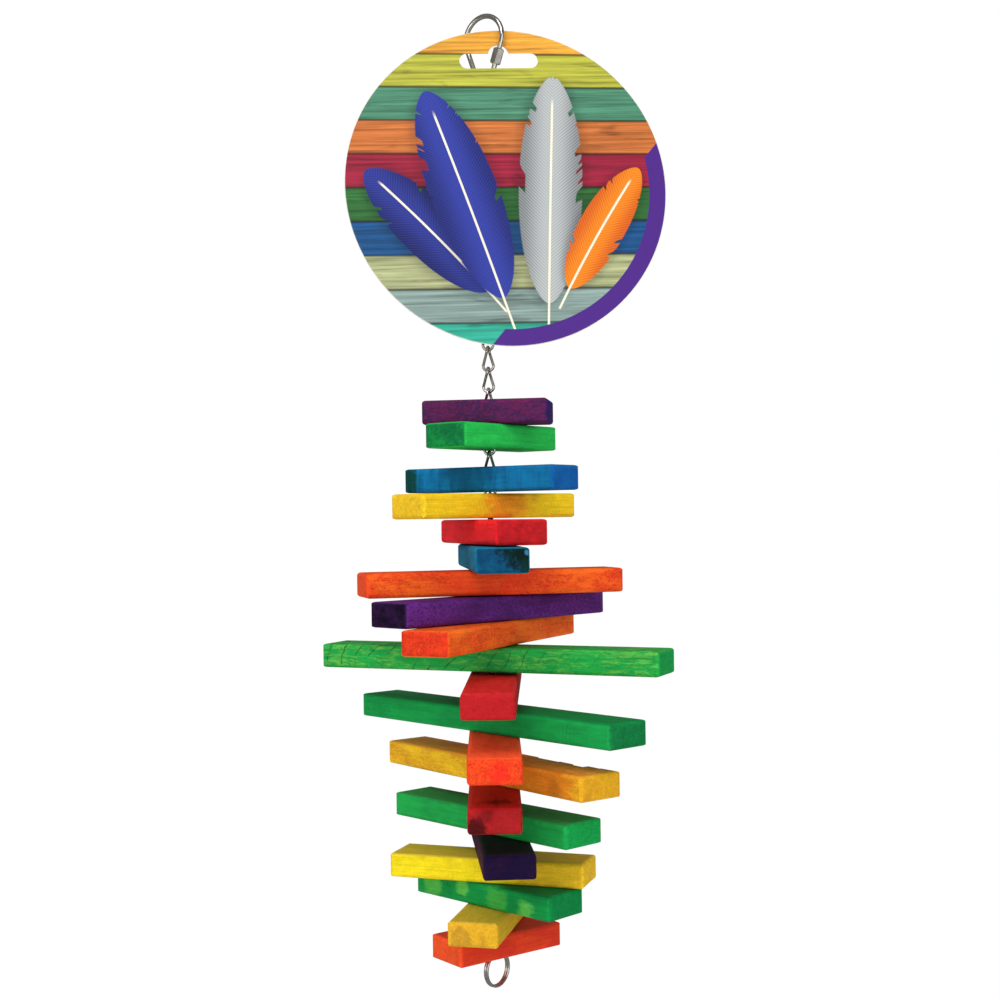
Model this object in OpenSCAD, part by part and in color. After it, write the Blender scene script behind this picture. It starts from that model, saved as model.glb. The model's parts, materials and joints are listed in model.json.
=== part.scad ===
// Hanging bird toy: dyed pine strips threaded flat on a twisted link chain, like a spindle.
// A pear-shaped quick link carries the chain and a round header card, and a split ring
// at the bottom keeps the strips on. Millimetres, +Z up, the toy's front looks along -Y.
// The origin is the inside of the hanger's crown, where a hook bears.

/* [Wood blocks] */
// Width of every strip
block_w = 25; // [20:0.5:30]
// Thickness of every strip
block_t = 12.2; // [10:0.1:16]
// Length of the longest strip
block_l = 184; // [150:1:220]
// Radius of the tumbled edges
block_edge_r = 2.2; // [0.6:0.1:2.6]
// Air between two strips that rest on each other
block_gap = 0.15; // [0.05:0.05:0.3]
// Height at which the two top strips are jammed above the rest
upper_lift = 8.6; // [1:0.1:14]
// Room round the chain in each drilled hole
bore_play = 0.65; // [0.4:0.05:1.5]

/* [Chain] */
// Wire of the chain links
link_wire = 1.4; // [1:0.05:1.6]
// Outer width of a link's loops
link_w = 6.7; // [6:0.1:8]
// Distance from one link to the next
link_pitch = 10.45; // [9:0.05:12.5]
// Air between two links where one hangs in the other
link_play = 0.15; // [0.05:0.05:0.3]
// Turn of the links about the vertical
link_turn = 15; // [10:1:20]

/* [Hanger link] */
// Wire of the pear-shaped link
hanger_wire = 2.5; // [2:0.1:3]
// Outer width of the link at its crown
hanger_w = 24.5; // [22:0.5:28]
// Outer length of the link
hanger_l = 34; // [31:0.2:38]
// Centre-line radius of the narrow foot
foot_r = 6; // [5:0.1:7]
// Turn of the link about the vertical, its threaded side to the front
hanger_turn = 35; // [30:1:38]
// Opening between the link's two ends, inside the nut
mouth = 3; // [2:0.2:5]

/* [Link nut] */
// Distance across the nut's flats
nut_af = 5; // [4.6:0.1:5.6]
// Length of the nut
nut_l = 7.8; // [7:0.1:9]
// Distance from the end of the crown to the nut, along the leg
nut_start = 3; // [2:0.1:4]
// Depth of the nut's turned ends below its flats
nut_end = 0.3; // [0.1:0.1:0.5]
// Room between the thread and the nut, at the radius
thread_play = 0.1; // [0.05:0.05:0.2]

/* [Header card] */
// Diameter of the card
card_d = 160; // [130:1:190]
// Thickness of the card
card_t = 0.6; // [0.4:0.1:1]
// Length of the hang slot
slot_l = 39.5; // [30:0.5:46]
// Height of the hang slot
slot_h = 7.8; // [7:0.1:9]
// Radius of the round notch above the slot
notch_r = 5.2; // [4.8:0.05:5.8]
// Height of the notch above the slot
notch_h = 4.2; // [3.6:0.1:4.8]
// Card left above the notch
card_margin = 7.5; // [6:0.5:12]
// Distance from the nut's middle to the notch's, inwards
card_side = 0.7; // [0.5:0.1:1.1]
// Air between the card and the wire in front of it
card_play = 0.3; // [0.2:0.05:0.4]
// Air between the notch and the nut's shoulder
card_seat = 0.6; // [0.4:0.1:1]
// Turn of the card about the vertical
card_turn = 8; // [6:1:12]
// Slope of the card, its lower edge to the front
card_tilt = 6; // [5:0.5:9]
// Lean of the card in its own plane, its right side up
card_lean = 2.2; // [0:0.1:3]

/* [Bottom ring] */
// Outer diameter of the split ring
ring_d = 18; // [16:0.5:24]
// Wire of each of its two turns
ring_wire = 1.4; // [1:0.05:1.5]
// Turn of the ring about the vertical
ring_turn = 50; // [46:1:64]
// Depth of the seam between the two turns
ring_seam = 0.06; // [0.02:0.02:0.2]
// Width of the slit at each end of the wire
ring_slit = 0.5; // [0.3:0.1:1]
// Air between the ring and the lowest strip
ring_play = 0.35; // [0.3:0.05:0.6]
// Swing of the ring each way on the last link
ring_swing = 15; // [5:1:20]

/* [Hidden] */
// Strips from the top down: share of the longest one's length, turn about the chain, how far
// the middle stands to the right of the hole in widths, air under the strip where it binds
// on the chain in thicknesses, and the dye
BLOCKS = [
  [0.3424, -9, -0.02, 0, "#43204f"],
  [0.413, 52, 0.064, 0, "#1f9a48"],
  [0.4891, -35, 0, 0.074, "#1f6f9d"],
  [0.5543, 42, -0.084, 0.041, "#d9b32a"],
  [0.6196, -75, 0, 0.041, "#c31f2a"],
  [0.6848, 95, 0, 0, "#15647f"],
  [0.7174, 16, -0.004, 0.033, "#d9481f"],
  [0.7772, 46, 0.04, 0, "#5b2d7c"],
  [0.8043, 64, 0.048, 0.033, "#e07a1f"],
  [0.9891, -24, 0, 0.123, "#1f9b46"],
  [0.9348, -92, 0.024, 0.295, "#c01f26"],
  [1, -48, 0, 0, "#149a47"],
  [0.9674, 90, 0.012, 0, "#e2401f"],
  [0.8478, -52, 0.048, 0, "#dfa626"],
  [0.8152, 90, 0, 0, "#b01c22"],
  [0.6793, -47, -0.024, 0, "#159246"],
  [0.6359, 94, 0.104, 0, "#22123a"],
  [0.5489, -19, -0.06, 0, "#e0c81f"],
  [0.5, -44, 0.032, 0, "#1fa149"],
  [0.413, -104, -0.096, 0, "#d6a72a"],
  [0.3424, 37, 0.012, 0, "#d8301f"],
];
block_count = len(BLOCKS);
// Strips that are jammed above the others
lifted = 2;
// Links that hang free above the strips, each a piece of its own
free_links = 15;

function two_digits(n) = str(n < 10 ? "0" : "", n);
function link_name(k) = str("chain_link_", two_digits(k));
function block_name(k) = str("block_", two_digits(k));
$fn = 48;

// A ball this much thicker than the wire closes each joint of an arc and a rod
ball_extra = 0.04;

// Hanger: crown and foot arcs in the link's own plane, joined by two straight legs
crown_r = (hanger_w - hanger_wire) / 2;
crown_z = hanger_wire / 2 - crown_r;
foot_z = hanger_wire - hanger_l + hanger_wire / 2 + foot_r;
centres = crown_z - foot_z;
leg_slope = asin((crown_r - foot_r) / centres);
leg_l = centres * cos(leg_slope);
foot_bar_z = foot_z - foot_r;
// Point on a leg, a distance down from the end of the crown: [sideways, up]
function leg_point(d) = [
  crown_r * cos(leg_slope) - d * sin(leg_slope),
  crown_z - crown_r * sin(leg_slope) - d * cos(leg_slope)
];
mouth_from = nut_start + (nut_l - mouth) / 2;

// Nut: a hexagon with turned ends
nut_corner_d = nut_af / cos(30);
nut_turned = (nut_corner_d - nut_af) / 2 + nut_end;
nut_top = leg_point(nut_start);

// Card: it hangs right behind the wire, the round notch just above the nut's sloping shoulder
card_back = hanger_wire / 2 + card_play;
nut_reach = sqrt(nut_corner_d * nut_corner_d / 4 - card_back * card_back);
shoulder_rise = tan(leg_slope) * (nut_reach * cos(hanger_turn) + card_back * sin(hanger_turn));
notch_sag = notch_r - sqrt(notch_r * notch_r - nut_reach * nut_reach);
notch_z = nut_top[1] - nut_end + shoulder_rise + notch_sag + card_seat;
card_at = [
  nut_top[0] * cos(hanger_turn) - card_side,
  -nut_top[0] * sin(hanger_turn) + card_back,
  notch_z
];

// Chain: centre-line sizes of one link, and the height of each link's top loop
loop_r = (link_w - link_wire) / 2;
link_h = link_pitch + link_wire + link_play;
link_leg = link_h - 2 * loop_r;
first_z = foot_bar_z + hanger_wire / 2 + link_play + link_wire / 2;
function link_z(k) = first_z - (k - 1) * link_pitch;
// Air from the foot of a strip down to the bottom of the stack, beyond the even gaps
function air_below(k) = k > block_count ? 0 : BLOCKS[k - 1][3] * block_t + air_below(k + 1);
stack_h = block_count * (block_t + block_gap) + air_below(1) + upper_lift;
// The chain in the strips starts at least this far above the top one
chain_entry = 3;
stack_links = ceil((stack_h + chain_entry) / link_pitch);
upper_links = floor(stack_links / 3);
middle_links = floor(stack_links / 3);
chain_end_z = link_z(free_links + stack_links) - link_h;

// Ring: its top runs through the last link, and the strips rest on it
ring_r = ring_d / 2;
turn_at = ring_wire / 2 - ring_seam / 2;
ring_room = loop_r - link_wire / 2 - ring_wire / 2;
ring_lift = ring_room - sqrt(max(0, ring_room * ring_room - turn_at * turn_at)) + turn_at * sin(ring_swing);
ring_top_z = chain_end_z + link_wire / 2 + link_play + ring_lift + ring_wire;
bore_d = link_w + 2 * bore_play;
ring_seat = ring_r - sqrt(ring_r * ring_r - bore_d * bore_d / 4) - ring_play;
stack_bottom_z = ring_top_z - ring_seat;
function block_z(k) =
  stack_bottom_z + block_gap + (block_count - k) * (block_t + block_gap) + block_t / 2
  + air_below(k) + (k <= lifted ? upper_lift : 0);

// Round rod of diameter d from point a to point b
module rod(a, b, d) {
  run = b - a;
  translate(a)
    rotate([0, acos(run[2] / norm(run)), atan2(run[1], run[0])])
      cylinder(d = d, h = norm(run), $fn = 32);
}

// Ball that joins two lengths of wire of diameter d
module wire_joint(at, d) {
  translate(at) sphere(d = d + ball_extra, $fn = 32);
}

// Arc of round wire in the XZ plane, from one angle to another, 0 at +X and 90 at the top
module wire_arc(r, d, from, to) {
  rotate([90, 0, 0])
    rotate([0, 0, from])
      rotate_extrude(angle = to - from, $fn = 96)
        translate([r, 0])
          circle(d = d, $fn = 32);
}

// Pear-shaped wire link, open where the nut bridges it
module hanger_link() {
  top = leg_point(0);
  low = leg_point(leg_l);
  a = leg_point(mouth_from);
  b = leg_point(mouth_from + mouth);
  color("silver")
    rotate([0, 0, -hanger_turn]) {
      translate([0, 0, crown_z]) wire_arc(crown_r, hanger_wire, -leg_slope, 180 + leg_slope);
      translate([0, 0, foot_z]) wire_arc(foot_r, hanger_wire, 180 + leg_slope, 360 - leg_slope);
      rod([-top[0], 0, top[1]], [-low[0], 0, low[1]], hanger_wire);
      rod([top[0], 0, top[1]], [a[0], 0, a[1]], hanger_wire);
      rod([b[0], 0, b[1]], [low[0], 0, low[1]], hanger_wire);
      for (side = [-1, 1], p = [top, low]) wire_joint([side * p[0], 0, p[1]], hanger_wire);
    }
}

// Long hexagon nut with turned ends, bored through
module link_nut() {
  at = leg_point(nut_start);
  color("gainsboro")
    rotate([0, 0, -hanger_turn])
      translate([at[0], 0, at[1]])
        rotate([0, leg_slope, 0])
          translate([0, 0, -nut_l])
            difference() {
              intersection() {
                cylinder(d = nut_corner_d, h = nut_l, $fn = 6);
                rotate_extrude()
                  polygon([
                    [0, 0], [nut_corner_d / 2 - nut_turned, 0], [nut_corner_d / 2, nut_turned],
                    [nut_corner_d / 2, nut_l - nut_turned], [nut_corner_d / 2 - nut_turned, nut_l], [0, nut_l]
                  ]);
              }
              translate([0, 0, -1]) cylinder(d = hanger_wire + 2 * thread_play, h = nut_l + 2);
            }
}

// Outline of the hang slot, its notch's top at the origin
module slot_outline() {
  slot_y = -notch_h - slot_h / 2;
  straight = slot_l - slot_h;
  translate([0, slot_y]) square([straight, slot_h], center = true);
  for (side = [-1, 1]) translate([side * straight / 2, slot_y]) circle(d = slot_h);
  translate([0, -notch_r]) circle(r = notch_r);
}

// Round die-cut card with a hang slot
module header_card() {
  color("goldenrod")
    translate(card_at)
      rotate([0, 0, card_turn])
        rotate([-card_tilt, 0, 0])
          rotate([90, -card_lean, 0])
            translate([0, 0, -card_t / 2])
              difference() {
                translate([0, card_margin - card_d / 2]) cylinder(d = card_d, h = card_t, $fn = 180);
                translate([0, 0, -1]) linear_extrude(card_t + 2) slot_outline();
              }
}

// Twisted link: its top loop stands across its bottom loop. The origin is the middle
// of the wire at the top.
module twisted_link() {
  top_z = -loop_r;
  low_z = top_z - link_leg;
  rotate([0, 0, -link_turn]) {
    translate([0, 0, top_z]) rotate([0, 0, 90]) wire_arc(loop_r, link_wire, 0, 180);
    translate([0, 0, low_z]) wire_arc(loop_r, link_wire, 180, 360);
    for (side = [-1, 1]) {
      rod([0, side * loop_r, top_z], [side * loop_r, 0, low_z], link_wire);
      wire_joint([0, side * loop_r, top_z], link_wire);
      wire_joint([side * loop_r, 0, low_z], link_wire);
    }
  }
}

module chain_link(k) {
  color("silver")
    translate([0, 0, link_z(k)])
      twisted_link();
}

// The links that run through the strips, in three lengths
module chain_length(from, to) {
  for (k = [from:to]) chain_link(free_links + k);
}
module stack_chain_upper() { chain_length(1, upper_links); }
module stack_chain_middle() { chain_length(upper_links + 1, upper_links + middle_links); }
module stack_chain_lower() { chain_length(upper_links + middle_links + 1, stack_links); }

// Rectangle with round corners
module rounded(w, h, r) {
  square([w - 2 * r, h], center = true);
  square([w, h - 2 * r], center = true);
  for (x = [-1, 1], y = [-1, 1]) translate([x * (w / 2 - r), y * (h / 2 - r)]) circle(r = r, $fn = 32);
}

// Strip of wood with all its edges tumbled round, along X
module strip(l) {
  intersection() {
    translate([0, 0, -block_t / 2])
      linear_extrude(block_t) rounded(l, block_w, block_edge_r);
    rotate([90, 0, 0])
      translate([0, 0, -block_w / 2])
        linear_extrude(block_w) rounded(l, block_t, block_edge_r);
    rotate([90, 0, 90])
      translate([0, 0, -l / 2])
        linear_extrude(l) rounded(block_w, block_t, block_edge_r);
  }
}

// Splinters broken off the back top edge of one strip, most of them near its right end:
// middle as a share of the length, length and reach in widths, depth in thicknesses
module splinters(l) {
  for (s = [
    [0.04, 0.5, 0.03, 0.07], [0.12, 1.36, 0.09, 0.1], [0.19, 0.7, 0.16, 0.13],
    [0.27, 1.04, 0.14, 0.17], [0.34, 0.36, 0.22, 0.26], [0.385, 0.5, 0.1, 0.14]
  ])
    translate([s[0] * l, block_w / 2, block_t / 2])
      rotate([0, 0, -2])
        cube([s[1] * block_w, 2 * s[2] * block_w, 2 * s[3] * block_t], center = true);
}

// Corner knocked off one strip at its near end
module knocked_corner(l) {
  translate([l / 2, -block_w / 2, block_t / 2])
    rotate([0, -23, -45])
      translate([0.37 * block_w, 0, 0]) cube(block_w, center = true);
}

// One drilled strip, in its place on the chain
module block(k) {
  l = BLOCKS[k - 1][0] * block_l;
  turn = BLOCKS[k - 1][1];
  side = BLOCKS[k - 1][2] * block_w;
  color(BLOCKS[k - 1][4])
    translate([0, 0, block_z(k)])
      difference() {
        translate([side, 0, 0])
          rotate([0, 0, turn])
            difference() {
              strip(l);
              if (k == 14) splinters(l);
              if (k == 11) knocked_corner(l);
            }
        cylinder(d = bore_d, h = 2 * block_t, center = true);
      }
}

// Split ring: two turns of wire side by side, with a slit where each end lies
module bottom_ring() {
  color("silver")
    translate([0, 0, ring_top_z - ring_r])
      rotate([0, 0, ring_turn])
        difference() {
          rotate([90, 0, 0])
            rotate_extrude($fn = 96)
              for (side = [-1, 1])
                translate([ring_r - ring_wire / 2, side * turn_at]) circle(d = ring_wire, $fn = 32);
          for (side = [-1, 1])
            rotate([0, 90 + 14 * side, 0])
              translate([ring_r - ring_wire / 2, side * ring_wire / 2, 0])
                cube([2 * ring_wire, ring_wire, ring_slit], center = true);
        }
}

hanger_link();
link_nut();
header_card();
bottom_ring();
stack_chain_upper();
stack_chain_middle();
stack_chain_lower();
for (k = [1:free_links])
  chain_link(k);
for (k = [1:block_count])
  block(k);
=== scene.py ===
"""Hanging bird toy: dyed pine strips on a twisted chain, with a quick link, header card and split ring."""

import json
import math

import bpy
from bpy.props import FloatProperty, FloatVectorProperty, PointerProperty
from bpy.types import Operator, Panel, PropertyGroup
from mathutils import Matrix, Vector


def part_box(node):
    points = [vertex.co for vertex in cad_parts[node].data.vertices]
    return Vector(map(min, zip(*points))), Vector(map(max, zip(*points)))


bl_info = {
    "name": "Hanging bird toy",
    "version": (1, 0, 0),
    "blender": (4, 5, 0),
    "location": "3D View > Sidebar > Bird toy",
    "description": "Dresses a hanging toy of dyed wood strips on a chain",
    "category": "Object",
}

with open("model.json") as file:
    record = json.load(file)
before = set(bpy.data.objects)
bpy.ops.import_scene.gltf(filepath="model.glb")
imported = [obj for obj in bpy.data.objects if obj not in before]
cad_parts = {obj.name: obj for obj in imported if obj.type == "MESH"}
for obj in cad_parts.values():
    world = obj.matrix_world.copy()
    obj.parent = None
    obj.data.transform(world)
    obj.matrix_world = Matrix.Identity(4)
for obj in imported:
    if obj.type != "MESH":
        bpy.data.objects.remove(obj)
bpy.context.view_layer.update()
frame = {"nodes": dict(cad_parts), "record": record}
MM = 0.001


def dye(code):
    """Linear colour of a six-digit colour code."""
    parts = [int(code[i:i + 2], 16) / 255 for i in (1, 3, 5)]
    return tuple(p / 12.92 if p < 0.04045 else ((p + 0.055) / 1.055) ** 2.4 for p in parts)


# Settings

def colour_of(title, text, code):
    return FloatVectorProperty(
        name=title, description=text, subtype="COLOR", size=3, min=0, max=1, default=dye(code))


def length_of(title, text, value):
    return FloatProperty(
        name=title, description=text, subtype="DISTANCE", unit="LENGTH", default=value, precision=4)


def angle_of(title, text, degrees):
    return FloatProperty(
        name=title, description=text, subtype="ANGLE", unit="ROTATION", default=math.radians(degrees))


def level_of(title, text, value, least=0, most=1):
    return FloatProperty(name=title, description=text, default=value, min=least, max=most)


class WoodSettings(PropertyGroup):
    """The pine of the strips, under its dye"""
    strip_w: length_of("Strip width", "Width of every strip", 25 * MM)
    strip_t: length_of("Strip thickness", "Thickness of every strip", 12.2 * MM)
    fibre: length_of("Fibre", "Width of the fibres that show through the dye", 0.9 * MM)
    rings: length_of("Growth rings", "Distance from one growth ring to the next", 3.4 * MM)
    saw_pitch: length_of("Saw marks", "Distance from one saw mark to the next", 2.3 * MM)
    gouge_pitch: length_of("Gouges", "Distance from one gouge of torn grain to the next", 9 * MM)
    depth: level_of("Grain depth", "How strongly the grain shows through the dye", 0.9, most=2)
    wear: level_of("Edge wear", "How much of the dye is tumbled off the edges", 0.3)
    roughness: level_of("Roughness", "Roughness of the sawn faces", 0.66)


class SteelSettings(PropertyGroup):
    """The plated wire of the chain, the links and the ring"""
    plate: colour_of("Plate", "Colour of the nickel plate", "#dedbd2")
    # The grime colour is partly a dull film and partly painted dark reflection of dark surroundings.
    grime_and_dark_reflection: colour_of("Grime", "Colour of the dull film on the plate", "#4f4d44")
    chain_film_and_dark_reflection: level_of("Film on the chain", "How much dull film the chain has", 0.45)
    link_film_and_dark_reflection: level_of("Film on the link", "How much dull film the quick link and the ring have", 0.25)
    roughness: level_of("Roughness", "Roughness of the bright plate", 0.13)


class CardSettings(PropertyGroup):
    """The printed header card"""
    diameter: length_of("Diameter", "Diameter of the card", 160 * MM)
    thickness: length_of("Thickness", "Thickness of the card", 0.6 * MM)
    margin: length_of("Margin", "Card above the notch of the slot", 7.5 * MM)
    turn: angle_of("Turn", "Turn of the card about the vertical", 8)
    tilt: angle_of("Tilt", "Slope of the card, its lower edge to the front", 6)
    lean: angle_of("Lean", "Lean of the card in its own plane, its right side up", 2.2)
    board: length_of("Boards", "Height of each painted board in the print", 17 * MM)
    print_lean: level_of("Print lean", "Fall of the painted boards to the right", 0.02, -0.1, 0.1)
    pulp: colour_of("Pulp", "Colour of the bare board at its edges and back", "#d9d4c8")
    band: colour_of("Band", "Colour of the plain band along the rim", "#4a2382")
    band_w: length_of("Band width", "Width of the plain band along the rim", 8.5 * MM)


class StudioSettings(PropertyGroup):
    """Camera, lamps and backdrop"""
    distance: length_of("Camera distance", "Distance from the camera to the chain", 750 * MM)
    eye_level: length_of("Camera height", "Height of the camera above the hang point", -249 * MM)
    lens: level_of("Lens", "Focal length in millimetres", 54, 20, 200)
    shift_x: level_of("Shift across", "Sideways shift, as a share of the picture's width", 0.0095, -1, 1)
    shift_y: level_of("Shift up", "Upward shift, as a share of the picture's width", 0.017, -1, 1)
    roll: angle_of("Roll", "Roll of the camera", 0.8193)
    floor: length_of("Floor", "Height of the floor above the hang point", -700 * MM)
    key_light: level_of("Key light", "Power of the light above the camera in watts", 9.5, most=100)
    fill_light: level_of("Fill light", "Power of the light at the right in watts", 5, most=100)
    side_light: level_of("Side light", "Power of the light at the left in watts", 2.4, most=100)
    sky: level_of("Sky", "Strength of the even light from all round", 0.58, most=2)
    mirrored: level_of("Mirrored studio", "Strength of the sky that the steel mirrors", 0.16, most=2)


# Shader maths

class Val:
    """A value in a material or in the world, which can be used in sums."""

    def __init__(self, tree, socket):
        self.tree, self.socket = tree, socket

    def _maths(self, operation, *terms):
        return self.tree.node("ShaderNodeMath", {"operation": operation}, dict(enumerate(terms)))

    def __add__(self, other):
        return self._maths("ADD", self, other)

    def __sub__(self, other):
        return self._maths("SUBTRACT", self, other)

    def __rsub__(self, other):
        return self._maths("SUBTRACT", other, self)

    def __mul__(self, other):
        return self._maths("MULTIPLY", self, other)

    def __truediv__(self, other):
        return self._maths("DIVIDE", self, other)

    def __pow__(self, other):
        return self._maths("POWER", self, other)

    def __abs__(self):
        return self._maths("ABSOLUTE", self)

    __radd__, __rmul__ = __add__, __mul__

    def low(self, other):
        return self._maths("MINIMUM", self, other)

    def high(self, other):
        return self._maths("MAXIMUM", self, other)

    def floor(self):
        return self._maths("FLOOR", self)

    def fract(self):
        return self._maths("FRACT", self)

    def wave(self):
        """0 to 1 and back, once for every whole number."""
        return self._maths("SINE", self * math.tau) * 0.5 + 0.5

    def swing(self, reach):
        """A pattern of 0 to 1, as a swing of half the reach to either side of 0."""
        return (self - 0.5) * reach

    def ramp(self, low, high):
        """Smoothly 0 at low and 1 at high."""
        return self.tree.node("ShaderNodeMapRange", {"interpolation_type": "SMOOTHSTEP"}, {
            0: self, 1: low, 2: high, 3: 0.0, 4: 1.0})


class Nodes:
    """The nodes of a material or of the world."""

    def __init__(self, tree):
        self.nodes, self.links = tree.nodes, tree.links

    def node(self, kind, settings=None, inputs=None, out=0):
        """A node of a kind, with its settings, and the values or links of its sockets."""
        made = self.nodes.new(kind)
        for key, value in (settings or {}).items():
            if key == "stops":
                self.set_stops(made.color_ramp, value)
            else:
                setattr(made, key, value)
        for key, value in (inputs or {}).items():
            self.feed(made.inputs[key], value)
        return Val(self, made.outputs[out])

    def set_stops(self, ramp, stops):
        """Makes a colour ramp of flat steps, each with its start and its colour."""
        ramp.interpolation = "CONSTANT"
        while len(ramp.elements) < len(stops):
            ramp.elements.new(1)
        for stop, (start, colour) in zip(ramp.elements, stops):
            stop.position, stop.color = start, (*colour, 1)

    def feed(self, socket, value):
        if isinstance(value, Val):
            self.links.new(value.socket, socket)
        elif isinstance(value, (tuple, list, Vector)) and len(value) == 3 and socket.type == "RGBA":
            socket.default_value = (*value, 1)
        else:
            socket.default_value = value

    def ray(self, kind):
        """1 for a ray of the kind and 0 for others."""
        return self.node("ShaderNodeLightPath", out=kind)

    def seen(self):
        """1 for what the camera sees, also through something clear."""
        return self.ray("Is Camera Ray").high(self.ray("Is Transmission Ray"))


class Finish(Nodes):
    """A material, with what its patterns are made of."""

    def __init__(self, name):
        self.material = bpy.data.materials.new(name)
        self.material.use_nodes = True
        super().__init__(self.material.node_tree)
        self.shader = self.nodes["Principled BSDF"]

    def give(self, quality, value):
        self.feed(self.shader.inputs[quality], value)

    def dress(self, node_name):
        """Puts the finish on a node of the frame."""
        obj = frame["nodes"][node_name]
        obj.data.materials.clear()
        obj.data.materials.append(self.material)

    def place(self, origin=(0, 0, 0), turn=(0, 0, 0)):
        """Object coordinates, seen from a piece's own origin and turn."""
        here = self.node("ShaderNodeTexCoord", out="Object")
        return self.node("ShaderNodeMapping", {"vector_type": "TEXTURE"}, {
            "Vector": here, "Location": origin, "Rotation": turn})

    def scaled(self, vector, factors):
        return self.node("ShaderNodeVectorMath", {"operation": "MULTIPLY"}, {0: vector, 1: factors})

    def moved(self, vector, by):
        return self.node("ShaderNodeVectorMath", {"operation": "ADD"}, {0: vector, 1: by})

    def far(self, vector):
        return self.node("ShaderNodeVectorMath", {"operation": "LENGTH"}, {0: vector}, out="Value")

    def split(self, vector):
        made = self.node("ShaderNodeSeparateXYZ", None, {0: vector})
        return [Val(self, s) for s in made.socket.node.outputs]

    def joined(self, x, y, z):
        return self.node("ShaderNodeCombineXYZ", None, {0: x, 1: y, 2: z})

    def noise(self, vector, grains, detail, rough, warp=0.0):
        """Even noise, with its grains to the metre, or to the vector's unit, along three axes."""
        return self.node("ShaderNodeTexNoise", {"noise_dimensions": "3D"}, {
            "Vector": self.scaled(vector, grains), "Scale": 1.0,
            "Detail": detail, "Roughness": rough, "Distortion": warp})

    def mix(self, share, first, second):
        return self.node("ShaderNodeMix", {"data_type": "RGBA", "clamp_factor": True}, {
            0: share, 6: first, 7: second}, out=2)

    def shade(self, colour, level):
        """A colour made darker or lighter by a level."""
        return self.node("ShaderNodeVectorMath", {"operation": "SCALE"}, {0: colour, "Scale": level})

    def bump(self, height, distance, strength):
        return self.node("ShaderNodeBump", None, {
            "Height": height, "Distance": distance, "Strength": strength})


# The strips, from the top down: length, turn about the chain and shift of the middle, as in the
# source, in millimetres and degrees. Then the dye, its second tone and how much of that shows, the
# dye of the left and right ends, the top face's colour with painted light and shade in it, and what
# else a strip shows of its own.
# Spots are (along, across, up, reach, colour, strength), in millimetres from the strip's middle.

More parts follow.
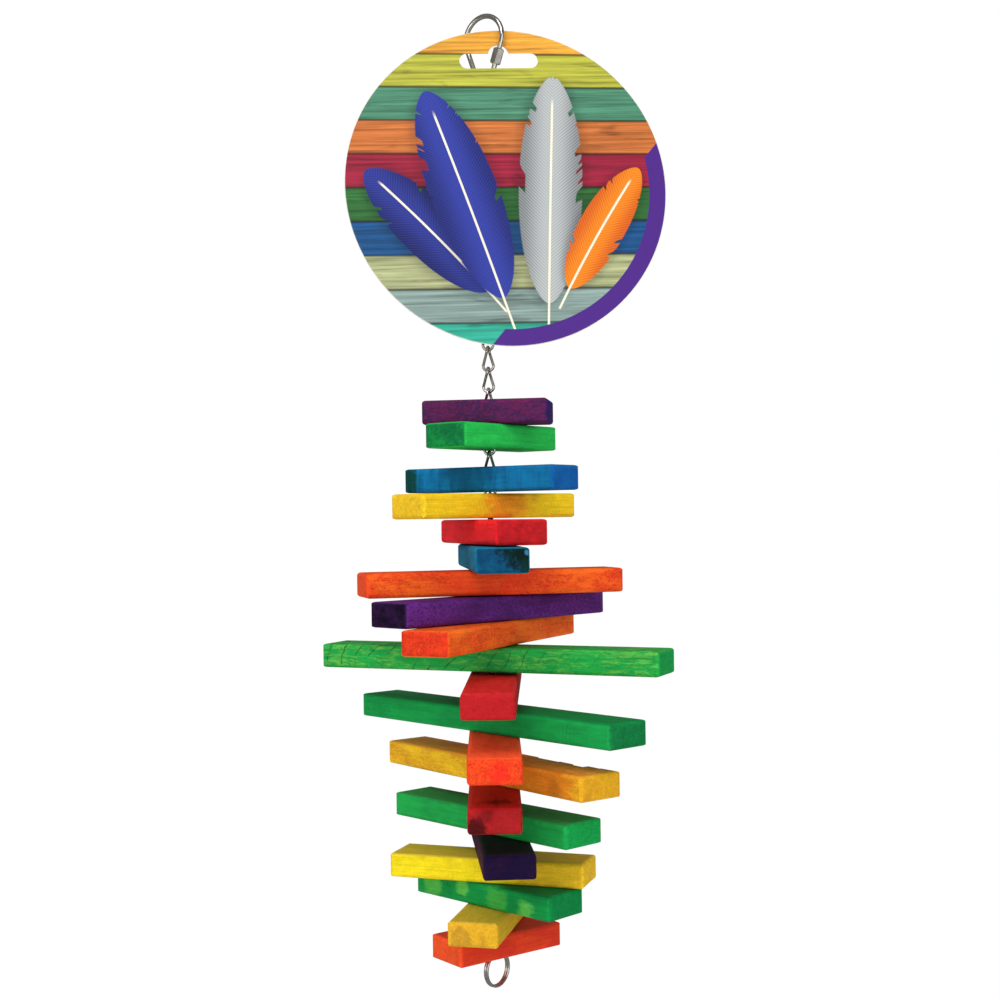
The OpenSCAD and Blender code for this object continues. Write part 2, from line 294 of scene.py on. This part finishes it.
STRIPS = [
    dict(l=63, turn=-9, side=-0.5, dye="#3f1e4c", tone="#6a1c4a", blotch=0.5, speck=True,
         ends=("#251440", "#261c66")),
    dict(l=76, turn=52, side=1.6, dye="#2ac653", tone="#1cb04c", blotch=0.5,
         ends=("#0a6a36", "#0a6a36")),
    dict(l=90, turn=-35, side=0, dye="#0b5f90", tone="#0c74a8", blotch=0.6, upright=True,
         ends=("#0a4a52", "#0a58a4"),
         spots=[(-42, -12, 1, 10, "#063c30", 0.95), (-6, -12, -4, 20, "#0a4f78", 0.5)]),
    dict(l=102, turn=42, side=-2.1, dye="#f0cc20", tone="#eab420", blotch=0.5,
         ends=("#deb424", "#dfae1f"),
         # The spot is painted shadow: the middle of the strip orange, as the strip above shades it.
         spots=[(6, -12, 5, 17, "#f49a24", 0.9)]),
    dict(l=114, turn=-75, side=0, dye="#f0202a", tone="#dc1a24", blotch=0.5,
         ends=("#a2161c", "#a8181e"),
         spots=[(50, -12, 0, 16, "#ef1d28", 0.9)]),
    dict(l=126, turn=95, side=0, dye="#0a7c9e", tone="#08668c", blotch=0.7,
         ends=("#064064", "#064468"),
         spots=[(-63, -11, 6, 13, "#041f1a", 1.0), (-63, -13, -4, 6, "#06302c", 0.8),
                (-63, -11.2, 3.6, 1.5, "#3f8fc0", 0.6)]),
    dict(l=132, turn=16, side=-0.1, dye="#fa6a20", tone="#cc2218", blotch=0.6, figure=True,
         ends=("#e8501f", "#e04a1c"),
         # The spot is painted shadow: the middle of the strip darker and redder, as the strip above shades
         # it.
         spots=[(-4, -12, 3, 30, "#e8341e", 0.6)]),
    dict(l=143, turn=46, side=1, dye="#642a86", tone="#451c54", blotch=0.7, speck=True,
         ends=("#140720", "#2c1348")),
    dict(l=148, turn=64, side=1.2, dye="#ff7422", tone="#dc3418", blotch=0.35, figure=True,
         ends=("#d83c1c", "#ee5420"), curl="#b8200f"),
    dict(l=182, turn=-24, side=0, dye="#22a646", tone="#128a3e", blotch=0.7, gouge="#0a5a2c",
         flame="#78c84a", ends=("#15984a", "#10a048")),
    dict(l=172, turn=-92, side=0.6, dye="#b41f22", tone="#a0181e", blotch=0.45,
         ends=("#b81c22", "#b61c22"), top="#d02426"),
    dict(l=184, turn=-48, side=0, dye="#18a04a", tone="#138d46", blotch=0.6,
         ends=("#129045", "#0c703a"), top="#128040"),
    dict(l=178, turn=90, side=0.3, dye="#ee4f1c", tone="#dc341f", blotch=0.6, figure=True,
         ends=("#ea4e1c", "#ea4e1c"), top="#ff5a30", curl="#d01810",
         spots=[(-89, -3, -1, 7, "#f02a1e", 0.8)]),
    dict(l=156, turn=-52, side=1.2, dye="#f2c224", tone="#cc841e", blotch=0.45, figure=True,
         ends=("#e3a91f", "#e0a820"), top="#f09c34",
         # The first spot is painted shadow: the right part orange, as the strip above shades it.
         spots=[(50, -12, 0, 28, "#dc7c20", 0.8), (58, -12, -3, 7, "#b0621a", 0.55),
                (78, -8, -3, 4, "#c98a22", 0.5)]),
    dict(l=150, turn=90, side=0, dye="#9c171c", tone="#7e1216", blotch=0.55,
         ends=("#a81d21", "#b71d23"), top="#b41e1c",
         spots=[(-75, 9, -4, 6, "#2a0808", 0.85), (-75, 4, 3, 5, "#6e1114", 0.6),
                (-60, 0, 6, 8, "#3d0a0c", 0.7)]),
    dict(l=125, turn=-47, side=-0.6, dye="#20a64a", tone="#178f45", blotch=0.5,
         ends=("#15a04b", "#12a04a"), top="#2a9048"),
    dict(l=117, turn=94, side=2.6, dye="#4a1c3c", tone="#321530", blotch=0.6,
         ends=("#190a33", "#281059"), top="#20262a"),
    dict(l=101, turn=-19, side=-1.5, dye="#ecd61b", tone="#e4c61d", blotch=0.5,
         ends=("#e2a81f", "#ecba28"), top="#ccb034",
         # The spot is painted shadow: the right part darker amber, as the strip above shades it.
         spots=[(44, -12, 0, 34, "#deb024", 0.9)]),
    dict(l=92, turn=-44, side=0.8, dye="#149c46", tone="#0e8440", blotch=0.8,
         ends=("#0e9144", "#078040"), top="#0f7d40",
         spots=[(-33, -12, 0, 7, "#5cc24e", 0.75), (-12, -12, 2, 5, "#6aca50", 0.7),
                (12, -12, -2, 8, "#4cba4a", 0.7), (31, -12, -3, 7, "#62c850", 0.8)]),
    dict(l=76, turn=-104, side=-2.4, dye="#dcae24", tone="#cc9a24", blotch=0.6,
         ends=("#dfb422", "#dea926"), top="#c8ac36",
         spots=[(38, -5, -2, 6, "#b0802a", 0.6), (38, 5, -3, 4, "#b98828", 0.5)]),
    dict(l=63, turn=37, side=0.3, dye="#e0401f", tone="#c92c24", blotch=0.7,
         ends=("#ea5424", "#ee4f1d"), top="#c8402a"),
]

# Patterns of the pine: grains to the metre along, across and up a strip, detail, roughness and warp
PINE = {
    "pore": ((900, 1900, 1900), 3, 0.65, 0),
    "mottle": ((170, 330, 330), 4, 0.66, 0),
    "upright mottle": ((420, 90, 60), 4, 0.6, 0),
    "cloud": ((42, 70, 90), 4, 0.58, 0.4),
    "sway": ((14, 55, 55), 2, 0.5, 0),
    "ring patch": ((30, 120, 120), 2, 0.5, 0),
    "saw patch": ((60, 90, 90), 2, 0.5, 0),
    "gouge patch": ((50, 220, 220), 3, 0.6, 0),
    "vein": ((120, 210, 210), 4, 0.62, 1.8),
    "speck": ((500, 800, 800), 3, 0.7, 0),
    "flame": ((110, 560, 560), 5, 0.68, 0.8),
    "end grain": ((500, 620, 900), 4, 0.68, 0),
    "end curl": ((240, 260, 260), 4, 0.62, 1.4),
}
# From one strip's piece of the grain to the next one's, in metres
GRAIN_STEP = Vector((0.37, 0.11, 0.23))
# How much longer a fibre is than it is wide
FIBRE_RUN = 20


class PineFinish(Finish):
    """Dyed pine of one strip: soft grain, growth rings and saw marks under an uneven dye, with painted light
    and shade on the top faces and painted shadow in some spots.
    """

    def __init__(self, number, look, wood):
        super().__init__("dyed_and_shaded_pine_%02d" % number)
        self.number, self.look, self.wood = number, look, wood
        name = "block_%02d" % number
        low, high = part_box(name)
        middle = (look["side"] * MM, 0, (low.z + high.z) / 2)
        self.at = self.place(middle, (0, 0, math.radians(look["turn"])))
        self.own = self.moved(self.at, GRAIN_STEP * number)
        self.along, self.across, self.up = self.split(self.at)
        self.half_l, self.half_w, self.half_t = look["l"] * MM / 2, wood.strip_w / 2, wood.strip_t / 2

        fibres = 1 / wood.fibre
        self.fibre = self.noise(self.own, (fibres / FIBRE_RUN, fibres, fibres), 4, 0.62)
        self.pore = self.pattern("pore")
        self.mottle = self.pattern("upright mottle" if look.get("upright") else "mottle")
        self.cloud = self.pattern("cloud")
        self.sway = self.pattern("sway")
        self.soaked = (self.cloud + self.mottle.swing(0.5)).ramp(0.38, 0.64)
        self.ragged = self.cloud.swing(2.2) + self.mottle.swing(1.3)

    def pattern(self, name):
        """One of the pine's patterns, on this strip's own piece of the grain."""
        return self.noise(self.own, *PINE[name])

    def late_wood(self):
        """Growth rings about a pith that lies off the strip."""
        pith = (0, (self.number % 5 - 2) * 7 * MM, (12 + self.number % 4 * 6) * MM)
        away = self.far(self.moved(self.scaled(self.at, (0, 1, 1)), pith))
        ring = (away / self.wood.rings + self.sway * 1.6 + self.mottle.swing(0.6)).wave()
        return ring.ramp(0.45, 1.0) * self.pattern("ring patch").ramp(0.38, 0.62)

    def saw_marks(self):
        """Marks across the faces, in patches."""
        slant = (self.number % 3 - 1) * 0.5
        run = self.along + self.across * slant + self.up * (0.4 + slant)
        mark = (run / self.wood.saw_pitch + self.sway * 1.4).wave()
        return mark.ramp(0.5, 1.0) * self.pattern("saw patch").ramp(0.5, 0.68)

    def gouges(self):
        """Slanting bites of torn grain, fewer to the right."""
        run = (self.along - self.up * 0.75) / self.wood.gouge_pitch
        bite = (run + self.sway * 2.0 + self.mottle.swing(0.35)).wave()
        fading = 1 - self.along.ramp(5 * MM, 40 * MM) * 0.7
        return bite.ramp(0.955, 1.0) * self.pattern("gouge patch").ramp(0.38, 0.6) * fading

    def dyed_and_shaded_faces(self, gouged):
        """The dye as the sawn faces took it up, unevenly, with painted light and shade on the top face."""
        look, tone = self.look, dye(self.look["tone"])
        colour = self.mix(self.soaked * look["blotch"], dye(look["dye"]), tone)
        if look.get("figure"):
            vein = (self.pattern("vein") * 6 + self.pore).wave().ramp(0.55, 1.0)
            patch = (self.cloud + self.mottle.swing(0.6)).ramp(0.36, 0.56)
            colour = self.mix(vein * patch * 0.8, colour, tone)
        if look.get("speck"):
            colour = self.mix(self.pattern("speck").ramp(0.47, 0.6) * 0.8, colour, tone)
        if look.get("flame"):
            lick = (self.pattern("flame") + self.cloud.swing(0.5)).ramp(0.46, 0.68)
            colour = self.mix(lick * 0.55, colour, dye(look["flame"]))
        if gouged:
            colour = self.mix(gouged * 0.75, colour, dye(look["gouge"]))
        # Painted light and shade: the top face gets its own colour, lighter on some strips and darker on
        # others, for how the light falls on it.
        if look.get("top"):
            face = self.up.ramp(self.half_t - 1.3 * MM, self.half_t - 0.3 * MM)
            colour = self.mix(face * (self.mottle * 0.6 + 0.62), colour, dye(look["top"]))
        return colour

    def stained_and_shaded(self, ground, spots):
        """The ground with ragged spots over it: stains, and on some strips painted shadow."""
        for along, across, up, reach, code, strength in spots:
            from_spot = self.moved(self.at, (-along * MM, -across * MM, -up * MM))
            away = self.far(from_spot) / (reach * MM) + self.ragged
            ground = self.mix((1 - away.ramp(0.45, 1.1)) * strength, ground, dye(code))
        return ground

    def dyed_end(self, code, spots):
        """End grain, which soaks up more of the dye than the faces do."""
        look = self.look
        colour = self.mix(self.soaked * 0.3, dye(code), dye(look["tone"]))
        if look.get("curl"):
            curl = 1 - abs(self.pattern("end curl") - 0.5).ramp(0.0, 0.045)
            colour = self.mix(curl * 0.85, colour, dye(look["curl"]))
        return self.stained_and_shaded(self.shade(colour, self.pattern("end grain") * 0.5 + 0.76), spots)

    def dyed_and_shaded(self, gouged):
        """The whole strip's dye with its painted light and shade: its faces, then its left and right ends.
        """
        spots, end_at = self.look.get("spots", ()), self.look["l"] / 2 - 0.5
        colour = self.stained_and_shaded(self.dyed_and_shaded_faces(gouged), [s for s in spots if abs(s[0]) < end_at])
        for sign, code in zip((-1, 1), self.look["ends"]):
            end = (self.along * sign).ramp(self.half_l - 1.5 * MM, self.half_l - 0.3 * MM)
            tint = self.dyed_end(code, [s for s in spots if s[0] * sign >= end_at])
            colour = self.mix(end, colour, tint)
        return colour

    def tumbled(self):
        """1 at the edges, where two faces meet."""
        a, b, c = abs(self.along) - self.half_l, abs(self.across) - self.half_w, abs(self.up) - self.half_t
        inwards = a.low(b).high(b.low(c)).high(a.low(c))
        return (inwards + self.mottle.swing(2.4 * MM)).ramp(-1.9 * MM, -0.5 * MM)

    def finish(self):
        """Lays the dye and the wear on the grain."""
        wood, late, cut = self.wood, self.late_wood(), self.saw_marks()
        gouged = self.gouges() if self.look.get("gouge") else None
        colour = self.dyed_and_shaded(gouged)
        colour = self.mix(self.tumbled() * wood.wear, colour, self.shade(colour, 1.3))
        if gouged:
            cut = cut.high(gouged)
        grain = self.fibre.swing(0.7) + self.mottle.swing(0.7) + self.pore.swing(0.5)
        self.give("Base Color", self.shade(colour, grain * wood.depth + 1.0 - late * 0.04 - cut * 0.07))
        self.give("Roughness", self.fibre.swing(0.25) + wood.roughness + late * 0.08)
        height = self.fibre * 0.5 + self.pore * 0.3 + self.mottle * 0.4 - cut * 0.5 + late * 0.15
        self.give("Normal", self.bump(height, 0.2 * MM, 0.7))
        self.give("Specular IOR Level", 0.08)


def steel_finish(name, steel, film_and_dark_reflection):
    """Nickel-plated wire with a thin dull film, whose dark colour is also painted dark reflection."""
    f = Finish(name)
    at = f.place()
    dull = f.noise(at, (260, 260, 260), 4, 0.6).ramp(0.42, 0.7)
    pits = f.noise(at, (1800, 1800, 1800), 3, 0.6)
    # Painted reflection: the film's dark colour also stands in for dark surroundings that the plate mirrors.
    f.give("Base Color", f.mix(dull * film_and_dark_reflection, tuple(steel.plate), tuple(steel.grime_and_dark_reflection)))
    f.give("Metallic", 1.0)
    f.give("Roughness", dull * 0.22 + steel.roughness + pits.swing(0.1))
    f.give("Normal", f.bump(pits + dull * 0.6, 0.03 * MM, 0.5))
    return f


# The print's painted boards, from the top down, and how much of a board the card's top cuts off
BOARDS = [
    "#de9c36", "#abab3c", "#4a8468", "#c06c34", "#961c38",
    "#2c6630", "#124c80", "#a0a578", "#809690", "#2fa48c",
]
TOP_CUT = 0.276
# Feathers of the print: foot right and up of the card's middle, lean, length, half width, two tones
FEATHERS = [
    (-10, -54, 42, 84, 14.5, "#2c3894", "#0d1246"),
    (16, -64, -5, 116, 16, "#b9bdbe", "#565b5d"),
    (-4, -60, 17, 110, 17, "#323fa4", "#0f1650"),
    (25, -54, -33, 72, 11.5, "#ee8a18", "#c23f12"),
]
GAP_INK, QUILL_INK = "#20160e", "#efe6cf"
# The slanting line that cuts both ends of the band: its slope and how far right it meets the middle
BAND_SLOPE, BAND_CUT = 0.9, 58 * MM


def painted_boards(f, x, y, card):
    """Streaky painted boards, one under the other, with dark gaps."""
    level = (card.diameter / 2 - y - x * card.print_lean) / card.board + TOP_CUT
    row = level.floor()
    stops = [(i / len(BOARDS), dye(code)) for i, code in enumerate(BOARDS)]
    paint = f.node("ShaderNodeValToRGB", {"stops": stops}, {0: (row + 0.5) / len(BOARDS)})
    lane = f.joined(x + row * 0.31, y, row)
    streak = f.noise(lane, (16, 620, 1), 5, 0.62, 0.25)
    knots = f.noise(lane, (30, 120, 1), 3, 0.6, 0.8).ramp(0.56, 0.74)
    boards = f.shade(paint, streak.swing(2.3) + 0.98 - knots * 0.35)
    gap = abs(level.fract() - 0.5).ramp(0.44, 0.49)
    return f.mix(gap * 0.75, boards, dye(GAP_INK))


def feather(f, x, y, plume, ground):
    """A plain feather with its shadow, laid over what the print shows so far."""
    foot_x, foot_y, lean, length, half_w, light, dark = plume
    turn = math.radians(lean)
    right, up = x - foot_x * MM, y - foot_y * MM
    reach = (up * math.cos(turn) - right * math.sin(turn)) / (length * MM)
    bow = (reach - 0.5) * (reach - 0.5) * (lean * 0.12 * MM)
    aside = right * math.cos(turn) + up * math.sin(turn) + bow
    swell = (1 - abs(reach * 2 - 1.08) ** 2.2).high(0.0) ** 0.62
    vane = abs(aside) / (half_w * MM)

    notches = f.noise(f.joined(reach * 14 - vane * 2.2, aside * 30, lean * 0.1), (1, 1, 1), 2, 0.6)
    outside = vane - swell + notches.ramp(0.58, 0.66) * 0.2
    inside = (1 - outside.ramp(-0.03, 0.02)) * swell.ramp(0.02, 0.1)
    barb = (reach * length * 0.62 - vane * half_w * 0.55).wave()
    tint = f.mix(vane.ramp(0.1, 0.95) * 0.55 + barb * 0.35, dye(light), dye(dark))
    line = 1 - abs(aside).ramp(0.35 * MM, 0.75 * MM)
    quill = line * reach.ramp(-0.13, -0.11) * (1 - reach.ramp(0.9, 0.95))
    shadow = (1 - (vane - swell).ramp(-0.05, 0.4)) * reach.ramp(-0.05, 0.1) * (1 - reach.ramp(0.98, 1.08))
    ground = f.mix(shadow * 0.4, ground, f.shade(ground, 0.25))
    return f.mix(quill, f.mix(inside, ground, tint), dye(QUILL_INK))


def card_finish(card, origin, turn):
    """Card printed on its front with painted boards, feathers and a plain band, bare at the back."""
    f = Finish("printed_card")
    x, y, z = f.split(f.place(origin, turn))
    radius = card.diameter / 2
    y = y + (radius - card.margin)
    printed = painted_boards(f, x, y, card)
    for plume in FEATHERS:
        printed = feather(f, x, y, plume, printed)

    at = f.joined(x, y, 0.0)
    away = f.far(at)
    inner_r, soft = radius - card.band_w, 0.1 * MM
    below_cut = (x - y * BAND_SLOPE).ramp(BAND_CUT, BAND_CUT + 4 * soft)
    printed = f.mix(away.ramp(inner_r - soft, inner_r + soft) * below_cut, printed, tuple(card.band))

    front = z.ramp(0.2 * card.thickness, 0.42 * card.thickness)
    inked = front * (1 - away.ramp(radius - 0.35 * MM, radius - 0.1 * MM))
    fibres = f.noise(at, (900, 900, 900), 3, 0.7)
    pulp = f.shade(tuple(card.pulp), fibres * 0.3 + 0.82)
    f.give("Base Color", f.mix(inked, pulp, printed))
    f.give("Roughness", 0.85 - inked * 0.35 + fibres.swing(0.1))
    f.give("Specular IOR Level", 0.2)
    f.give("Normal", f.bump(fibres, 0.02 * MM, 0.35))
    return f


# Operators

class BIRDTOY_OT_dye_strips(Operator):
    """Dye the drilled pine strips, with painted light and shade on some of their faces"""
    bl_idname = "birdtoy.dye_strips"
    bl_label = "Dye strips"

    def execute(self, context):
        wood = context.scene.birdtoy_wood
        for number, look in enumerate(STRIPS, 1):
            pine = PineFinish(number, look, wood)
            pine.finish()
            pine.dress("block_%02d" % number)
        return {"FINISHED"}


class BIRDTOY_OT_plate_chain(Operator):
    """Plate the chain, the quick link with its nut and the split ring"""
    bl_idname = "birdtoy.plate_chain"
    bl_label = "Plate chain"

    def execute(self, context):
        steel = context.scene.birdtoy_steel
        chain = steel_finish("plated_chain", steel, steel.chain_film_and_dark_reflection)
        bright = steel_finish("plated_link", steel, steel.link_film_and_dark_reflection)
        for name in frame["nodes"]:
            if "chain" in name:
                chain.dress(name)
        for name in ("hanger_link", "link_nut", "bottom_ring"):
            bright.dress(name)
        return {"FINISHED"}


class BIRDTOY_OT_print_card(Operator):
    """Print the round header card"""
    bl_idname = "birdtoy.print_card"
    bl_label = "Print card"

    def execute(self, context):
        card = context.scene.birdtoy_card
        joints = frame["record"]["behaviour"]["joints"]
        swing = next(j for j in joints if j["name"] == "header_card_swing")
        hanging = Matrix.Identity(3)
        for angle, axis in ((card.turn, "Z"), (-card.tilt, "X"), (-card.lean, "Y"), (math.radians(90), "X")):
            hanging = hanging @ Matrix.Rotation(angle, 3, axis)
        card_finish(card, swing["pos_m"], hanging.to_euler("XYZ")).dress("header_card")
        return {"FINISHED"}


class BIRDTOY_OT_set_stage(Operator):
    """Set the camera, the lamps and the pale backdrop"""
    bl_idname = "birdtoy.set_stage"
    bl_label = "Set stage"

    def execute(self, context):
        studio = context.scene.birdtoy_studio
        self.hang_backdrop(context, studio.floor)
        self.light_sky(context, studio)
        self.lamp("key_light", (-0.3, -1.0, 0.75), (0, 0, -0.3), 0.9, studio.key_light)
        self.lamp("fill_light", (0.5, -1.25, -0.2), (0, 0, -0.26), 1.3, studio.fill_light)
        self.lamp("side_light", (-0.8, -1.0, -0.2), (0, 0, -0.26), 0.7, studio.side_light)
        self.set_camera(context, studio)
        context.scene.view_settings.view_transform = "Standard"
        return {"FINISHED"}

    def hang_backdrop(self, context, floor):
        """A pale floor that bends up into a wall behind the toy."""
        width, depth, height, bend_r = 8, 6, 3.5, 1.0
        bpy.ops.object.select_all(action="DESELECT")
        bpy.ops.mesh.primitive_plane_add(size=1, location=(0, -0.6, floor))
        sweep = context.object
        sweep.name = "backdrop"
        sweep.scale = (width, depth, 1)
        bpy.ops.object.transform_apply(location=True, rotation=True, scale=True)
        bpy.ops.object.mode_set(mode="EDIT")
        bpy.ops.mesh.select_all(action="DESELECT")
        bpy.ops.object.mode_set(mode="OBJECT")
        for edge in sweep.data.edges:
            edge.select = all(sweep.data.vertices[v].co.y > 0 for v in edge.vertices)
        bpy.ops.object.mode_set(mode="EDIT")
        bpy.ops.mesh.extrude_region_move(TRANSFORM_OT_translate={"value": (0, 0, height)})
        bpy.ops.object.mode_set(mode="OBJECT")
        bend = sweep.modifiers.new("sweep", "BEVEL")
        bend.width, bend.segments, bend.angle_limit = bend_r, 16, math.radians(30)
        bpy.ops.object.modifier_apply(modifier="sweep")
        bpy.ops.object.shade_smooth()
        sweep.data.materials.append(self.backdrop_finish().material)

    def backdrop_finish(self):
        """Pale paper, white to the camera and dim where the steel mirrors it."""
        f = Finish("pale_backdrop")
        f.give("Base Color", (0.86, 0.86, 0.86))
        f.give("Roughness", 0.9)
        paper = Val(f, f.shader.outputs[0])
        glow = f.node("ShaderNodeEmission", None, {"Color": (1, 1, 1), "Strength": 1.04})
        unlit = f.node("ShaderNodeEmission", None, {"Color": (0, 0, 0), "Strength": 0.0})
        lit = f.node("ShaderNodeMixShader", None, {0: f.seen() * 0.94, 1: paper, 2: glow})
        wall = f.node("ShaderNodeMixShader", None, {0: f.ray("Is Glossy Ray") * 0.7, 1: lit, 2: unlit})
        f.feed(f.nodes["Material Output"].inputs["Surface"], wall)
        return f

    def light_sky(self, context, studio):
        """Even light from all round, white to the camera and dim where the steel mirrors it."""
        world = bpy.data.worlds.new("studio")
        world.use_nodes = True
        context.scene.world = world
        sky = Nodes(world.node_tree)
        to_camera = sky.seen() * (1 - studio.sky)
        to_steel = sky.ray("Is Glossy Ray") * (studio.mirrored - studio.sky)
        light = sky.nodes["Background"]
        sky.feed(light.inputs["Color"], (1, 1, 1))
        sky.feed(light.inputs["Strength"], to_camera + to_steel + studio.sky)

    def lamp(self, name, place, aim, size, power):
        """A round area lamp that faces a point."""
        data = bpy.data.lights.new(name, "AREA")
        data.shape, data.size, data.energy = "DISK", size, power
        lamp = bpy.data.objects.new(name, data)
        lamp.location = place
        lamp.rotation_mode = "QUATERNION"
        lamp.rotation_quaternion = (Vector(aim) - Vector(place)).to_track_quat("-Z", "Y")
        bpy.context.collection.objects.link(lamp)

    def set_camera(self, context, studio):
        lens = bpy.data.cameras.new("camera")
        lens.lens, lens.sensor_width = studio.lens, 36
        lens.shift_x, lens.shift_y = studio.shift_x, studio.shift_y
        lens.clip_start, lens.clip_end = 0.01, 50
        eye = bpy.data.objects.new("camera", lens)
        eye.location = (0, -studio.distance, studio.eye_level)
        eye.rotation_euler = (math.radians(90), studio.roll, 0)
        context.collection.objects.link(eye)
        context.scene.camera = eye


OPERATORS = (BIRDTOY_OT_dye_strips, BIRDTOY_OT_plate_chain, BIRDTOY_OT_print_card, BIRDTOY_OT_set_stage)
SETTINGS = {
    "birdtoy_wood": WoodSettings, "birdtoy_steel": SteelSettings,
    "birdtoy_card": CardSettings, "birdtoy_studio": StudioSettings,
}


class BIRDTOY_PT_panel(Panel):
    """Every step that dresses the toy"""
    bl_idname = "BIRDTOY_PT_panel"
    bl_label = "Bird toy"
    bl_space_type = "VIEW_3D"
    bl_region_type = "UI"
    bl_category = "Bird toy"

    def draw(self, context):
        for step in OPERATORS:
            self.layout.operator(step.bl_idname)
        for name, group in SETTINGS.items():
            box = self.layout.box()
            for key in group.__annotations__:
                box.prop(getattr(context.scene, name), key)


CLASSES = (*SETTINGS.values(), *OPERATORS, BIRDTOY_PT_panel)


def register():
    for cls in CLASSES:
        bpy.utils.register_class(cls)
    for name, group in SETTINGS.items():
        setattr(bpy.types.Scene, name, PointerProperty(type=group))


def unregister():
    for name in SETTINGS:
        delattr(bpy.types.Scene, name)
    for cls in reversed(CLASSES):
        bpy.utils.unregister_class(cls)


def main():
    register()
    bpy.ops.birdtoy.dye_strips()
    bpy.ops.birdtoy.plate_chain()
    bpy.ops.birdtoy.print_card()
    bpy.ops.birdtoy.set_stage()


if __name__ == "__main__":
    main()
